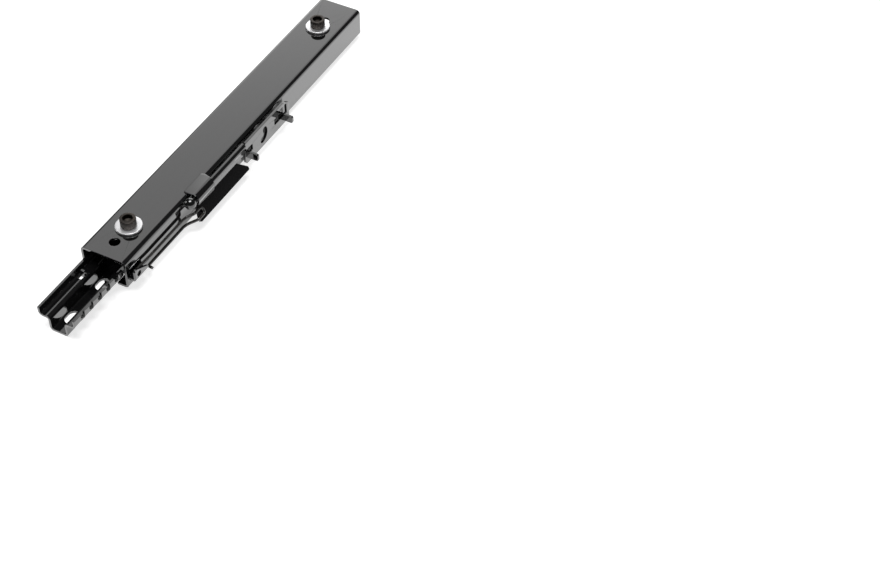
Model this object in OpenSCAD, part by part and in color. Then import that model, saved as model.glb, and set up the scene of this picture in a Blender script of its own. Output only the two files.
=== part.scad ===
// Seat slide rail: an upper C rail that rolls on a lower hat rail, with a side latch.
// X runs forward along the rails, +Y is the latch side, Z is up.
// The origin is the middle of the lower rail, on its underside.

/* [Rails] */
// Length of the upper rail
upper_len = 352; // [330:1:400]
// Length of the lower rail
lower_len = 352; // [345:1:380]
// How far the lower rail stands out in front of the upper one at rest
stand_out = 59; // [52:0.5:66]
// Width of the upper rail over its sides
rail_w = 40; // [39:0.5:44]
// Height from the floor to the upper rail's top face
rail_h = 28.5; // [27.5:0.5:32]
// Gap between the floor and the upper rail's lips
lip_gap = 2.5; // [1.5:0.5:3]
// Sheet thickness of both rails
sheet = 2; // [1.6:0.1:2.2]
// Outside radius of the rails' folds
fold_r = 3.5; // [3:0.1:4.5]

/* [Lower rail] */
// Outside width of the floor channel
channel_w = 16.5; // [15:0.5:18]
// Height of the wings' underside above the floor
wing_h = 11.8; // [11:0.1:12.5]
// Width over the upturned lips
wing_w = 33; // [32:0.5:33.5]
// Outside radius of the lips' fold
wing_r = 4; // [3.5:0.1:4.5]
// Height of the lips' top edge above the floor
wing_top = 19.9; // [18.5:0.1:20.5]
// Distance from notch to notch
notch_pitch = 10.4; // [9:0.1:11]
// Width of a notch
notch_w = 4.6; // [4.2:0.1:5.2]
// Distance of the first notch from the front end
notch_first = 9.8; // [8:0.1:11]
// Number of notches
notch_count = 25; // [24:1:27]
// Width of a floor-bolt slot
slot_w = 10; // [8:0.1:10.5]
// Length of a floor-bolt slot
slot_len = 13; // [11.5:0.1:16]
// Distance of the outer floor-bolt slots from the middle
slot_outer_x = 160; // [152:1:164]
// Distance of the inner floor-bolt slots from the middle
slot_inner_x = 122; // [110:1:130]
// Distance of the roller stops from the middle
stop_x = 128; // [124:0.5:134]
// Height of a roller stop above the wing
stop_h = 4.2; // [2.5:0.1:4.5]

/* [Seat bolts] */
// Front seat bolt, from the upper rail's middle
front_bolt_x = 142; // [138:0.5:150]
// Rear seat bolt, behind the upper rail's middle
rear_bolt_x = 138; // [134:0.5:150]
// Diameter of the screws
screw_d = 8; // [6:0.1:8.4]
// Length of the screws under the head
screw_len = 16; // [14:0.5:18]
// Diameter of the screw heads
head_d = 12.5; // [12:0.1:14]
// Height of the screw heads
head_h = 7; // [6:0.1:9]
// Hexagon socket across its flats
socket_af = 6.4; // [5:0.1:6.5]
// Depth of the hexagon socket
socket_depth = 4; // [3:0.1:5]
// Diameter of the washers
washer_d = 21; // [18:0.5:24]
// Thickness of the washers
washer_t = 2; // [1.5:0.1:2.5]
// Weld nut across its flats
nut_af = 13; // [12.5:0.1:14]
// Height of a weld nut
nut_h = 6.5; // [5:0.1:7.5]
// Diameter of the holes in the roof
roof_hole_d = 8.6; // [8.5:0.1:9]
// Spare hole ahead of the front bolt
front_spare_dx = 18.5; // [17:0.5:22]
// Spare hole behind the rear bolt
rear_spare_dx = 11.3; // [10.5:0.1:14]

/* [Latch] */
// Diameter of the pivot rod
rod_d = 6; // [5:0.1:6.5]
// Distance of the rod's middle from the rail's side
rod_out = 4.2; // [4:0.1:4.6]
// Diameter of the ball on the rod's front end
ball_d = 9.6; // [8:0.1:9.8]
// Rear end of the rod, from the upper rail's middle
rod_rear_x = 20.6; // [18:0.1:22]
// Middle of the ball, from the upper rail's middle
ball_x = 96.5; // [96:0.1:99]
// Sheet thickness of the latch pieces
lever_t = 2.2; // [1.8:0.1:2.4]
// Rear end of the lever, behind the upper rail's middle
lever_rear_x = 46.5; // [45:0.5:52]
// Lever's top edge below the top face
lever_top_dz = 2; // [1.5:0.1:3]
// Lever's bottom edge below the top face
lever_low_dz = 22.5; // [20:0.1:23]
// Distance between the two handle pegs
peg_pitch = 53; // [50:0.5:56]
// Length of a handle peg
peg_len = 11.5; // [8:0.5:16]
// Height of a handle peg
peg_h = 6.4; // [5:0.1:8]
// Middle of the pegs below the top face
peg_dz = 11.6; // [10:0.1:13]
// Rear end of the flap's outer edge, from the upper rail's middle
flap_rear_x = 25.6; // [24:0.1:30]
// Front end of the flap's outer edge, from the upper rail's middle
flap_front_x = 95.6; // [92:0.1:98]
// How much shorter the flap is along its fold, at its rear end
flap_rear_flare = 9; // [5:0.1:10]
// How much shorter the flap is along its fold, at its front end
flap_flare = 5; // [3:0.1:6]
// Line where the flap folds out, below the top face
flap_dz = 11; // [10:0.1:11.5]
// Slanted length of the flap
flap_len = 12; // [10:0.1:13]
// Angle of the flap from upright
flap_angle = 35; // [30:1:40]
// Number of teeth on the lock comb
tooth_count = 5; // [3:1:5]
// Width of a comb tooth
tooth_w = 4; // [3:0.1:4]
// Angle from the stored pose to the locked one
lock_angle = 8; // [8:0.1:9]

/* [Pivot hood] */
// Rear end of the hood, from the upper rail's middle
hood_rear_x = 66.2; // [64:0.1:70]
// Length of the hood
hood_len = 25.3; // [18:0.1:25.4]
// Sheet thickness of the hood
hood_t = 1.7; // [1.2:0.1:2]
// Width of the tab on the top face
hood_tab_w = 5.3; // [4:0.1:8]
// Depth of the skirt below the rod's middle, at its rear end
hood_skirt_rear = 5.5; // [4:0.1:5.6]
// Depth of the skirt below the rod's middle, at its front end
hood_skirt_front = 3.7; // [2:0.1:5]
// How far the skirt leans in over its depth
hood_lean = 1.2; // [0:0.1:1.3]

/* [Spring] */
// Diameter of the spring wire
wire_d = 2.4; // [2:0.1:2.8]
// Upper leg of the spring below the top face
wire_high_dz = 13.5; // [12:0.1:14.5]
// Lower leg of the spring below the top face
wire_low_dz = 20.5; // [19:0.1:21.5]
// Rear end of the spring ear, from the upper rail's middle
ear_rear_x = 158; // [155:0.5:159]
// Length of the spring ear
ear_len = 16; // [14:0.5:16.5]
// Clear distance from the rail's side to the ear
ear_gap = 4.4; // [4:0.1:5]
// Diameter of the hole in the ear
ear_hole_d = 4.6; // [4:0.1:5]
// Ear's highest point below the top face
ear_top_dz = 7.5; // [7:0.1:9]
// Ear's lowest face below the top face
ear_low_dz = 18.5; // [17.5:0.1:19]
// How much the ear's top edge falls towards its rear end
ear_fall = 6.5; // [4:0.1:7]

/* [Rolling set] */
// Front roller, from the lower rail's middle
front_roller_x = 34; // [26:0.5:36]
// Rear roller, behind the lower rail's middle
rear_roller_x = 90; // [80:0.5:96]
// Diameter of the rollers' journals
journal_d = 4; // [3:0.1:4.5]
// Length of a ball retainer
retainer_len = 200; // [180:1:206]
// Number of balls in a retainer
ball_count = 4; // [3:1:6]

/* [Clearances] */
// Gap of the rollers and balls to the rails
roll_gap = 0.3; // [0.25:0.05:0.4]
// Radial gap of the journals in the cage
journal_gap = 0.05; // [0.03:0.01:0.1]
// Radial gap of the screws in the nuts
thread_gap = 0.1; // [0.05:0.01:0.2]
// Gap of the rod in the hood
hood_gap = 0.3; // [0.3:0.05:0.5]
// Gap of the ball in its pocket in the rail's side
ball_gap = 0.4; // [0.3:0.05:0.6]
// Gap of a comb tooth in its window, each side
window_gap = 0.4; // [0.3:0.05:0.6]

/* [Hidden] */
$fn = 48;

// Places along X: the upper rail's middle and ends, and the lower rail's ends
upper_x = (lower_len - upper_len) / 2 - stand_out;
upper_front = upper_x + upper_len / 2;
upper_rear = upper_x - upper_len / 2;
lower_front = lower_len / 2;

// Upper rail's section
side_y = rail_w / 2;
inner_y = side_y - sheet;
roof_z = rail_h - sheet;
lip_z = lip_gap + sheet;
lip_clear = 1.4;
lip_y = channel_w / 2 + lip_clear;

// Lower rail's section
fold_in = fold_r - sheet;
wing_top_z = wing_h + sheet;
lip_out_y = wing_w / 2;
bend_y = lip_out_y - wing_r;
bend_z = wing_h + wing_r;
notch_low_z = wing_h - 0.5;

// Pivot axis of the latch
rod_y = side_y + rod_out;
hood_in_r = rod_d / 2 + hood_gap;
hood_out_r = hood_in_r + hood_t;
rod_z = rail_h - hood_in_r;

// Lever's sheet and heights
lever_in_y = rod_y - lever_t / 2;
lever_out_y = rod_y + lever_t / 2;
lever_top_z = rail_h - lever_top_dz;
lever_low_z = rail_h - lever_low_dz;
flap_z = rail_h - flap_dz;
peg_z = rail_h - peg_dz;
front_peg_x = rod_rear_x - lever_t / 2 - 0.4;
rear_peg_x = front_peg_x - peg_pitch;
strip_front_x = ball_x - ball_d / 2 - 0.5;
fold_rear_x = flap_rear_x + flap_rear_flare;
fold_front_x = flap_front_x - flap_flare;

// Lock comb in its locked pose: teeth lie level in the notches
tooth_top_z = bend_z;
tooth_low_z = tooth_top_z - lever_t;
tooth_bite = 2.6;
tooth_slant = 1.5;
comb_margin = 6;
comb_in_y = side_y + 0.5;
comb_out_y = rod_y + 6;
comb_mid_x = upper_x + (flap_rear_x + flap_front_x) / 2;
comb_notch = round((lower_front - notch_first - comb_mid_x) / notch_pitch);
comb_x = lower_front - notch_first - comb_notch * notch_pitch;
function tooth_x(i) = comb_x + (i - (tooth_count - 1) / 2) * notch_pitch
    + ((tooth_count % 2 == 0) ? notch_pitch / 2 : 0);
window_top_z = tooth_top_z + 0.5;
window_low_z = tooth_low_z - 3.7;

// Spring ear
ear_t = sheet;
ear_in_y = side_y + ear_gap;
ear_out_y = ear_in_y + ear_t;
ear_top_z = rail_h - ear_top_dz;
ear_low_z = rail_h - ear_low_dz;
ear_hole_x = ear_rear_x + ear_len - ear_hole_d;
ear_hole_z = rail_h - wire_high_dz + ear_hole_d / 4;
ear_corner = 1.5;

// Rolling set
roller_d = roof_z - wing_top_z - 2 * roll_gap;
roller_z = (roof_z + wing_top_z) / 2;
roller_half = bend_y;
lip_in_y = lip_out_y - sheet;
cage_out_y = lip_in_y - 0.4;
cage_in_y = roller_half + 0.25;
cage_half_h = journal_d / 2 + 1.25;
cage_end = 12;
bearing_d = wing_h - lip_z - 2 * roll_gap;
bearing_z = (wing_h + lip_z) / 2;
bearing_y = bend_y + 0.5;
retainer_x = (front_roller_x - rear_roller_x) / 2;

// Sections are drawn with Y to the right and Z up, and run along X from x0
module along_x(x0, len) {
    translate([x0, 0, 0])
        rotate([90, 0, 90])
            linear_extrude(len)
                children();
}

module box_yz(y0, y1, z0, z1) {
    translate([y0, z0])
        square([y1 - y0, z1 - z0]);
}

// Rectangle with round corners, from true arcs
module round_rect(u0, u1, v0, v1, r) {
    translate([u0 + r, v0])
        square([u1 - u0 - 2 * r, v1 - v0]);
    translate([u0, v0 + r])
        square([u1 - u0, v1 - v0 - 2 * r]);
    for (u = [u0 + r, u1 - r], v = [v0 + r, v1 - r])
        translate([u, v])
            circle(r);
}

// Quarter of a fold about (y, z); sy and sz name its quadrant
module fold(y, z, r_out, r_in, sy, sz) {
    translate([y, z])
        intersection() {
            difference() {
                circle(r_out);
                circle(r_in);
            }
            translate([sy < 0 ? -r_out : 0, sz < 0 ? -r_out : 0])
                square(r_out);
        }
}

module upright_bore(x, y, d, z0, z1) {
    translate([x, y, z0])
        cylinder(d = d, h = z1 - z0);
}

module upper_section() {
    difference() {
        round_rect(-side_y, side_y, lip_gap, rail_h, fold_r);
        round_rect(-inner_y, inner_y, lip_z, roof_z, fold_in);
        box_yz(-lip_y, lip_y, lip_gap - 1, lip_z + 1);
    }
}

module lower_half_section() {
    wall_out = channel_w / 2;
    wall_in = wall_out - sheet;
    low_y = wall_out - fold_r;
    crest_y = wall_in + fold_r;
    crest_z = wing_top_z - fold_r;
    box_yz(0, low_y, 0, sheet);
    fold(low_y, fold_r, fold_r, fold_in, 1, -1);
    box_yz(wall_in, wall_out, fold_r, crest_z);
    fold(crest_y, crest_z, fold_r, fold_in, -1, 1);
    box_yz(crest_y, bend_y, wing_h, wing_top_z);
    fold(bend_y, bend_z, wing_r, wing_r - sheet, 1, -1);
    box_yz(lip_in_y, lip_out_y, bend_z, wing_top);
}

module lower_section() {
    lower_half_section();
    mirror([1, 0])
        lower_half_section();
}

// Round-bottomed notch through the latch-side lip and its fold
module notch(x) {
    translate([x, lip_out_y + 1, 0])
        rotate([90, 0, 0])
            linear_extrude(lip_out_y + 1 - bend_y - 0.1) {
                translate([0, notch_low_z + notch_w / 2])
                    circle(d = notch_w);
                translate([-notch_w / 2, notch_low_z + notch_w / 2])
                    square([notch_w, wing_top]);
            }
}

module floor_slot(x) {
    reach = (slot_len - slot_w) / 2;
    translate([x, 0, -1])
        linear_extrude(sheet + 2) {
            for (dx = [-reach, reach])
                translate([dx, 0])
                    circle(d = slot_w);
            translate([-reach, -slot_w / 2])
                square([2 * reach, slot_w]);
        }
}

// Lanced stop: a tab turned up out of the wing, beside the window it leaves
stop_w = 3.3;
stop_window = 4;
stop_y = bend_y - stop_w;
module stop_cut(x, way, side) {
    translate([way > 0 ? x + sheet : x - sheet - stop_window, side > 0 ? stop_y : -bend_y, wing_h - 1])
        cube([stop_window, stop_w, sheet + 2]);
}
module stop_tab(x, way, side) {
    translate([way > 0 ? x : x - sheet, side > 0 ? stop_y : -bend_y, wing_h])
        cube([sheet, stop_w, sheet + stop_h]);
}

module lower_rail() {
    color([0.03, 0.03, 0.03]) {
        difference() {
            along_x(-lower_len / 2, lower_len)
                lower_section();
            for (i = [0:notch_count - 1])
                notch(lower_front - notch_first - i * notch_pitch);
            for (x = [-slot_outer_x, -slot_inner_x, slot_inner_x, slot_outer_x])
                floor_slot(x);
            for (way = [-1, 1], side = [-1, 1])
                stop_cut(way * stop_x, way, side);
        }
        for (way = [-1, 1], side = [-1, 1])
            stop_tab(way * stop_x, way, side);
    }
}

// Window that a comb tooth passes through in the latch-side wall
module tooth_window(x) {
    half = tooth_w / 2 + window_gap;
    translate([x, side_y + 1, 0])
        rotate([90, 0, 0])
            linear_extrude(sheet + 2)
                round_rect(-half, half, window_low_z, window_top_z, 1);
}

// Window left in the wall by the lanced spring ear
module ear_window() {
    translate([upper_x + ear_rear_x, side_y + 1, 0])
        rotate([90, 0, 0])
            linear_extrude(sheet + 2)
                round_rect(0, ear_len - ear_t, ear_low_z + ear_t, ear_top_z - ear_t / 2, 1);
}

// Spring ear: a tongue folded out of the wall at its lower edge, then up, with a falling top edge
module spring_ear() {
    difference() {
        intersection() {
            along_x(upper_x + ear_rear_x, ear_len) {
                box_yz(side_y - sheet / 2, ear_out_y - fold_r, ear_low_z, ear_low_z + ear_t);
                fold(ear_out_y - fold_r, ear_low_z + fold_r, fold_r, fold_r - ear_t, 1, -1);
                box_yz(ear_in_y, ear_out_y, ear_low_z + fold_r, ear_top_z);
            }
            translate([upper_x + ear_rear_x, ear_out_y + 1, 0])
                rotate([90, 0, 0])
                    linear_extrude(ear_gap + 2 * ear_t + 2)
                        difference() {
                            round_rect(0, ear_len, ear_low_z - ear_corner, ear_top_z, ear_corner);
                            polygon([
                                [-1, ear_top_z - ear_fall],
                                [0, ear_top_z - ear_fall],
                                [ear_len - 2 * ear_corner, ear_top_z],
                                [ear_len - 2 * ear_corner, ear_top_z + 1],
                                [-1, ear_top_z + 1]
                            ]);
                        }
        }
        translate([upper_x + ear_hole_x, ear_out_y + 1, ear_hole_z])
            rotate([90, 0, 0])
                cylinder(d = ear_hole_d, h = ear_t + 2);
    }
}

module upper_rail() {
    color([0.05, 0.05, 0.05])
        union() {
            difference() {
                along_x(upper_rear, upper_len)
                    upper_section();
                for (x = [front_bolt_x, front_bolt_x + front_spare_dx, -rear_bolt_x, -rear_bolt_x - rear_spare_dx])
                    upright_bore(upper_x + x, 0, roof_hole_d, roof_z - 1, rail_h + 1);
                for (i = [0:tooth_count - 1])
                    tooth_window(tooth_x(i));
                ear_window();
                translate([upper_x + ball_x, rod_y, rod_z])
                    sphere(d = ball_d + 2 * ball_gap);
            }
            spring_ear();
        }
}

module weld_nut(x) {
    color([0.45, 0.45, 0.47])
        difference() {
            translate([upper_x + x, 0, roof_z - nut_h])
                cylinder(d = nut_af / cos(30), h = nut_h, $fn = 6);
            upright_bore(upper_x + x, 0, screw_d + 2 * thread_gap, roof_z - nut_h - 1, roof_z + 1);
        }
}

module front_weld_nut() {
    weld_nut(front_bolt_x);
}

module rear_weld_nut() {
    weld_nut(-rear_bolt_x);
}

// Socket head cap screw, turned about Z with its head on the washer
module bolt(x) {
    head_z = rail_h + washer_t;
    edge = 0.6;
    point = 1;
    color([0.1, 0.1, 0.1])
        translate([upper_x + x, 0, head_z])
            difference() {
                rotate_extrude()
                    polygon([
                        [0, -screw_len],
                        [screw_d / 2 - point, -screw_len],
                        [screw_d / 2, -screw_len + point],
                        [screw_d / 2, 0],
                        [head_d / 2, 0],
                        [head_d / 2, head_h - edge],
                        [head_d / 2 - edge, head_h],
                        [0, head_h]
                    ]);
                translate([0, 0, head_h - socket_depth])
                    cylinder(d = socket_af / cos(30), h = socket_depth + 1, $fn = 6);
            }
}

module front_bolt() {
    bolt(front_bolt_x);
}

module rear_bolt() {
    bolt(-rear_bolt_x);
}

module washer(x) {
    edge = 0.3;
    bore_r = roof_hole_d / 2;
    color([0.85, 0.85, 0.87])
        translate([upper_x + x, 0, rail_h])
            rotate_extrude()
                polygon([
                    [bore_r, 0],
                    [washer_d / 2 - edge, 0],
                    [washer_d / 2, edge],
                    [washer_d / 2, washer_t - edge],
                    [washer_d / 2 - edge, washer_t],
                    [bore_r, washer_t]
                ]);
}

module front_washer() {
    washer(front_bolt_x);
}

module rear_washer() {
    washer(-rear_bolt_x);
}

// Saddle over the rod: a tab that rises from the top face into an arch, and a skirt cut on a slant
hood_tab_edge = 0.3;
hood_corner = 2;
hood_slant = 3.8;
module pivot_hood() {
    x0 = upper_x + hood_rear_x;
    tab_y = side_y - hood_tab_w;
    tab_z = rail_h + hood_tab_edge;
    out_y = rod_y + hood_out_r;
    reach = norm([rod_y - tab_y, rod_z - tab_z]);
    tangent = 180 - atan2(tab_z - rod_z, rod_y - tab_y) - acos(hood_out_r / reach);
    color([0.05, 0.05, 0.05])
        difference() {
            intersection() {
                union() {
                    along_x(x0, hood_len)
                        polygon([
                            [tab_y, rail_h],
                            [tab_y, tab_z],
                            [rod_y + hood_out_r * cos(tangent), rod_z + hood_out_r * sin(tangent)],
                            [rod_y, rail_h + hood_t / 2],
                            [rod_y, rail_h]
                        ]);
                    along_x(x0, hood_len)
                        difference() {
                            translate([rod_y, rod_z])
                                circle(hood_out_r);
                            translate([rod_y, rod_z])
                                circle(hood_in_r);
                            box_yz(tab_y, rod_y, rod_z - 2 * hood_out_r, rail_h);
                            box_yz(tab_y, rod_y + 2 * hood_out_r, rod_z - 2 * hood_out_r, rod_z);
                        }
                    along_x(x0, hood_len)
                        polygon([
                            [rod_y + hood_in_r, rod_z],
                            [rod_y + hood_out_r, rod_z],
                            [rod_y + hood_out_r - hood_lean, rod_z - hood_skirt_rear],
                            [rod_y + hood_in_r - hood_lean, rod_z - hood_skirt_rear]
                        ]);
                }
                translate([0, 0, rod_z - 2 * hood_out_r])
                    linear_extrude(4 * hood_out_r)
                        round_rect(x0, x0 + hood_len, tab_y, rod_y + 2 * hood_out_r, hood_corner);
            }
            translate([0, 0, rod_z - 2 * hood_out_r])
                linear_extrude(4 * hood_out_r)
                    polygon([
                        [x0 - 1, tab_y + 2 * hood_corner],
                        [x0, tab_y + 2 * hood_corner],
                        [x0 + hood_slant, out_y],
                        [x0 + hood_slant, out_y + 1],
                        [x0 - 1, out_y + 1]
                    ]);
            translate([0, out_y + 1, 0])
                rotate([90, 0, 0])
                    linear_extrude(hood_out_r + 1)
                        polygon([
                            [x0, rod_z - hood_skirt_rear],
                            [x0 + hood_len, rod_z - hood_skirt_front],
                            [x0 + hood_len + 1, rod_z - hood_skirt_front],
                            [x0 + hood_len + 1, rod_z - 2 * hood_out_r],
                            [x0, rod_z - 2 * hood_out_r]
                        ]);
        }
}

// Round rod along X with a ball on its front end
module pivot_rod() {
    rod_len = ball_x - rod_rear_x;
    color([0.06, 0.06, 0.06])
        translate([upper_x + rod_rear_x, rod_y, rod_z])
            rotate([0, 90, 0])
                rotate_extrude()
                    intersection() {
                        union() {
                            square([rod_d / 2, rod_len]);
                            translate([0, rod_len])
                                circle(d = ball_d);
                        }
                        square([ball_d, rod_len + ball_d]);
                    }
}

// Plate parallel to the rail's side, between two X places on the upper rail
module side_plate(x0, x1, z0, z1, r) {
    translate([upper_x, lever_out_y, 0])
        rotate([90, 0, 0])
            linear_extrude(lever_t)
                round_rect(x0, x1, z0, z1, r);
}

// Opening through the lever's sheet
module plate_opening(x0, x1, z0, z1, r) {
    translate([upper_x, lever_out_y + 1, 0])
        rotate([90, 0, 0])
            linear_extrude(lever_t + 2)
                round_rect(x0, x1, z0, z1, r);
}

// Handle peg: a tongue turned straight out of the plate
peg_corner = 1.5;
module peg(x) {
    translate([upper_x + x - lever_t / 2, 0, 0])
        rotate([90, 0, 90])
            linear_extrude(lever_t)
                round_rect(lever_in_y, lever_out_y + peg_len, peg_z - peg_h / 2, peg_z + peg_h / 2, peg_corner);
}

// Curved slot between the pegs, a stretch of a ring about (x, z)
arc_r = 5;
arc_w = 5.8;
arc_end_d = 5.6;
arc_sweep = 124;
arc_mid = 29;
module curved_slot(x, z) {
    half = arc_sweep / 2;
    far = 2 * arc_r;
    translate([upper_x + x, lever_out_y + 1, z])
        rotate([90, 0, 0])
            linear_extrude(lever_t + 2)
                rotate(arc_mid) {
                    intersection() {
                        difference() {
                            circle(arc_r + arc_w / 2);
                            circle(arc_r - arc_w / 2);
                        }
                        polygon([
                            [0, 0],
                            [-far * cos(half), far * sin(half)],
                            [-2 * far, far * sin(half)],
                            [-2 * far, -far * sin(half)],
                            [-far * cos(half), -far * sin(half)]
                        ]);
                    }
                    for (a = [-half, half])
                        translate([-arc_r * cos(a), arc_r * sin(a)])
                            circle(d = arc_end_d);
                }
}

// Flap that leans out from its fold line; children are drawn in its own plane
module in_flap_plane() {
    translate([upper_x, rod_y, flap_z])
        rotate([flap_angle, 0, 0])
            children();
}

// Outline of the flap in its own plane: fold line at the top, flared towards the outer edge
flap_corner = 1.5;
module flap_outline() {
    start = 2 * flap_corner - flap_len;
    rear_slope = flap_rear_flare / -start;
    front_slope = flap_flare / -start;
    difference() {
        round_rect(flap_rear_x, flap_front_x, -flap_len, flap_len, flap_corner);
        polygon([
            [flap_rear_x - rear_slope, start - 1],
            [fold_rear_x, 0],
            [fold_front_x, 0],
            [flap_front_x + front_slope, start - 1],
            [flap_front_x + front_slope, flap_len + 1],
            [flap_rear_x - rear_slope, flap_len + 1]
        ]);
    }
}

window_corner = 1;
hood_clear = 1.2;
slot_h = 6;
window_len = 8;
window_rise = 3.4;
front_slot_len = 8.5;
rear_slot_len = 9;
corner_dx = 8;
corner_dz = 4;
plate_corner = 3;
module latch_lever() {
    color([0.06, 0.06, 0.06])
        difference() {
            union() {
                side_plate(-lever_rear_x, rod_rear_x, lever_low_z, lever_top_z, plate_corner);
                side_plate(rod_rear_x - 2 * plate_corner, strip_front_x, flap_z, rod_z, lever_t / 2);
                in_flap_plane() {
                    translate([fold_rear_x, 0, 0])
                        rotate([0, 90, 0])
                            cylinder(d = lever_t, h = fold_front_x - fold_rear_x);
                    translate([0, lever_t / 2, 0])
                        rotate([90, 0, 0])
                            linear_extrude(lever_t)
                                flap_outline();
                }
                peg(front_peg_x);
                peg(rear_peg_x);
            }
            plate_opening(
                rear_peg_x - lever_t / 2 - window_len, rear_peg_x - lever_t / 2,
                peg_z - peg_h / 2, peg_z + peg_h / 2 + window_rise, window_corner
            );
            plate_opening(
                rear_peg_x + lever_t / 2, rear_peg_x + lever_t / 2 + rear_slot_len,
                peg_z - slot_h / 2, peg_z + slot_h / 2, window_corner
            );
            plate_opening(
                front_peg_x - lever_t / 2 - front_slot_len, front_peg_x - lever_t / 2,
                peg_z - slot_h / 2, peg_z + slot_h / 2, window_corner
            );
            plate_opening(
                hood_rear_x - hood_clear, strip_front_x + hood_clear,
                flap_z + 0.4, rod_z + rod_d, window_corner
            );
            curved_slot((front_peg_x + rear_peg_x) / 2 + 2.4, peg_z + 0.9);
            translate([upper_x, lever_out_y + 1, 0])
                rotate([90, 0, 0])
                    linear_extrude(lever_t + 2)
                        polygon([
                            [-lever_rear_x - 1, lever_top_z + 1],
                            [-lever_rear_x - 1, lever_top_z - corner_dz - 0.5],
                            [-lever_rear_x + 1, lever_top_z - corner_dz + 0.5],
                            [-lever_rear_x + corner_dx, lever_top_z],
                            [-lever_rear_x + corner_dx, lever_top_z + 1]
                        ]);
            translate([upper_x + rod_rear_x, rod_y, rod_z])
                rotate([0, 90, 0])
                    cylinder(d = rod_d, h = strip_front_x);
        }
}

// Turns children about the rod by an angle, positive away from the rail
module about_rod(angle) {
    translate([0, rod_y, rod_z])
        rotate([angle, 0, 0])
            translate([0, -rod_y, -rod_z])
                children();
}

// Comb with slanted teeth, welded to the back of the flap
module lock_comb() {
    tooth_tip = lip_out_y - tooth_bite;
    x0 = tooth_x(0) - comb_margin;
    x1 = tooth_x(tooth_count - 1) + comb_margin;
    color([0.3, 0.3, 0.31])
        difference() {
            about_rod(lock_angle) {
                along_x(x0, x1 - x0)
                    box_yz(comb_in_y, comb_out_y, tooth_low_z, tooth_top_z);
                for (i = [0:tooth_count - 1])
                    along_x(tooth_x(i) - tooth_w / 2, tooth_w)
                        polygon([
                            [tooth_tip, tooth_low_z],
                            [comb_out_y, tooth_low_z],
                            [comb_out_y, tooth_top_z],
                            [tooth_tip + tooth_slant, tooth_top_z]
                        ]);
            }
            in_flap_plane()
                translate([-lever_rear_x, -lever_t / 2, -3 * flap_len])
                    cube([4 * lever_rear_x, 3 * flap_len, 6 * flap_len]);
        }
}

// Hairpin of round wire: along the rail's side from the ear to the flap's outer face and back
wire_sides = 8;
flap_out = [0, cos(flap_angle), sin(flap_angle)];
flap_down = [0, sin(flap_angle), -cos(flap_angle)];
function on_flap(x, down) = [upper_x + x, rod_y, flap_z]
    + flap_down * down + flap_out * (lever_t / 2 + wire_d / 2 + 0.05);
wire_run_y = side_y + wire_d / 2 + 1.2;
wire_high_z = rail_h - wire_high_dz;
wire_low_z = rail_h - wire_low_dz;
wire_turn_x = flap_front_x - flap_flare - wire_d;
wire_bend = 1.8;
wire_lead = 9;
wire_stub = 3;
high_down = 2.4;
low_down = 8;
wire_points = [
    [upper_x + ear_hole_x, ear_out_y - ear_t / 2, ear_hole_z],
    [upper_x + ear_hole_x, ear_in_y - 0.4, ear_hole_z],
    [upper_x + ear_hole_x - wire_bend, wire_run_y + 0.3, ear_hole_z],
    [upper_x + ear_hole_x - wire_bend - wire_d, wire_run_y, ear_hole_z],
    [upper_x + ear_rear_x - wire_lead, wire_run_y, wire_high_z],
    [upper_x + flap_front_x + wire_lead + wire_bend, wire_run_y, wire_high_z],
    [upper_x + flap_front_x + wire_lead - wire_bend, wire_run_y + 0.6, wire_high_z],
    on_flap(flap_front_x + wire_bend, high_down),
    on_flap(wire_turn_x + wire_bend, high_down),
    on_flap(wire_turn_x + 0.4 * wire_bend, high_down + 0.5 * wire_bend),
    on_flap(wire_turn_x, high_down + 1.2 * wire_bend),
    on_flap(wire_turn_x, low_down - 1.2 * wire_bend),
    on_flap(wire_turn_x + 0.4 * wire_bend, low_down - 0.5 * wire_bend),
    on_flap(wire_turn_x + wire_bend, low_down),
    on_flap(flap_front_x + wire_bend, low_down),
    [upper_x + flap_front_x + wire_lead - wire_bend, wire_run_y + 0.6, wire_low_z],
    [upper_x + flap_front_x + wire_lead + wire_bend, wire_run_y, wire_low_z],
    [upper_x + ear_rear_x - wire_lead, wire_run_y, wire_low_z],
    [upper_x + ear_rear_x - 2.6 * wire_bend, wire_run_y + 0.5, wire_low_z + 0.2],
    [upper_x + ear_rear_x - 2 * wire_bend, wire_run_y + wire_bend, wire_low_z + 0.6],
    [upper_x + ear_rear_x - 1.7 * wire_bend, wire_run_y + wire_bend + wire_stub, wire_low_z + 1.2]
];
function unit(v) = v / norm(v);
function wire_way(i) = unit(
    i == 0 ? wire_points[1] - wire_points[0]
    : i == len(wire_points) - 1 ? wire_points[i] - wire_points[i - 1]
    : unit(wire_points[i + 1] - wire_points[i]) + unit(wire_points[i] - wire_points[i - 1])
);
// Ring of points about the wire's middle line, square to its way there
function wire_ring(i) =
    let (t = wire_way(i), n = unit(cross(t, [0.31, 0.5, 0.81])), b = cross(t, n))
    [for (k = [0:wire_sides - 1])
        wire_points[i] + (n * cos(360 * k / wire_sides) + b * sin(360 * k / wire_sides)) * wire_d / 2];
module return_spring() {
    rings = len(wire_points);
    color([0.12, 0.12, 0.12])
        polyhedron(
            points = [for (i = [0:rings - 1]) each wire_ring(i)],
            faces = concat(
                [[for (k = [0:wire_sides - 1]) k]],
                [[for (k = [wire_sides - 1:-1:0]) (rings - 1) * wire_sides + k]],
                [for (i = [0:rings - 2], k = [0:wire_sides - 1])
                    [i * wire_sides + k, (i + 1) * wire_sides + k,
                     (i + 1) * wire_sides + (k + 1) % wire_sides]],
                [for (i = [0:rings - 2], k = [0:wire_sides - 1])
                    [i * wire_sides + k, (i + 1) * wire_sides + (k + 1) % wire_sides,
                     i * wire_sides + (k + 1) % wire_sides]]
            )
        );
}

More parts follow.
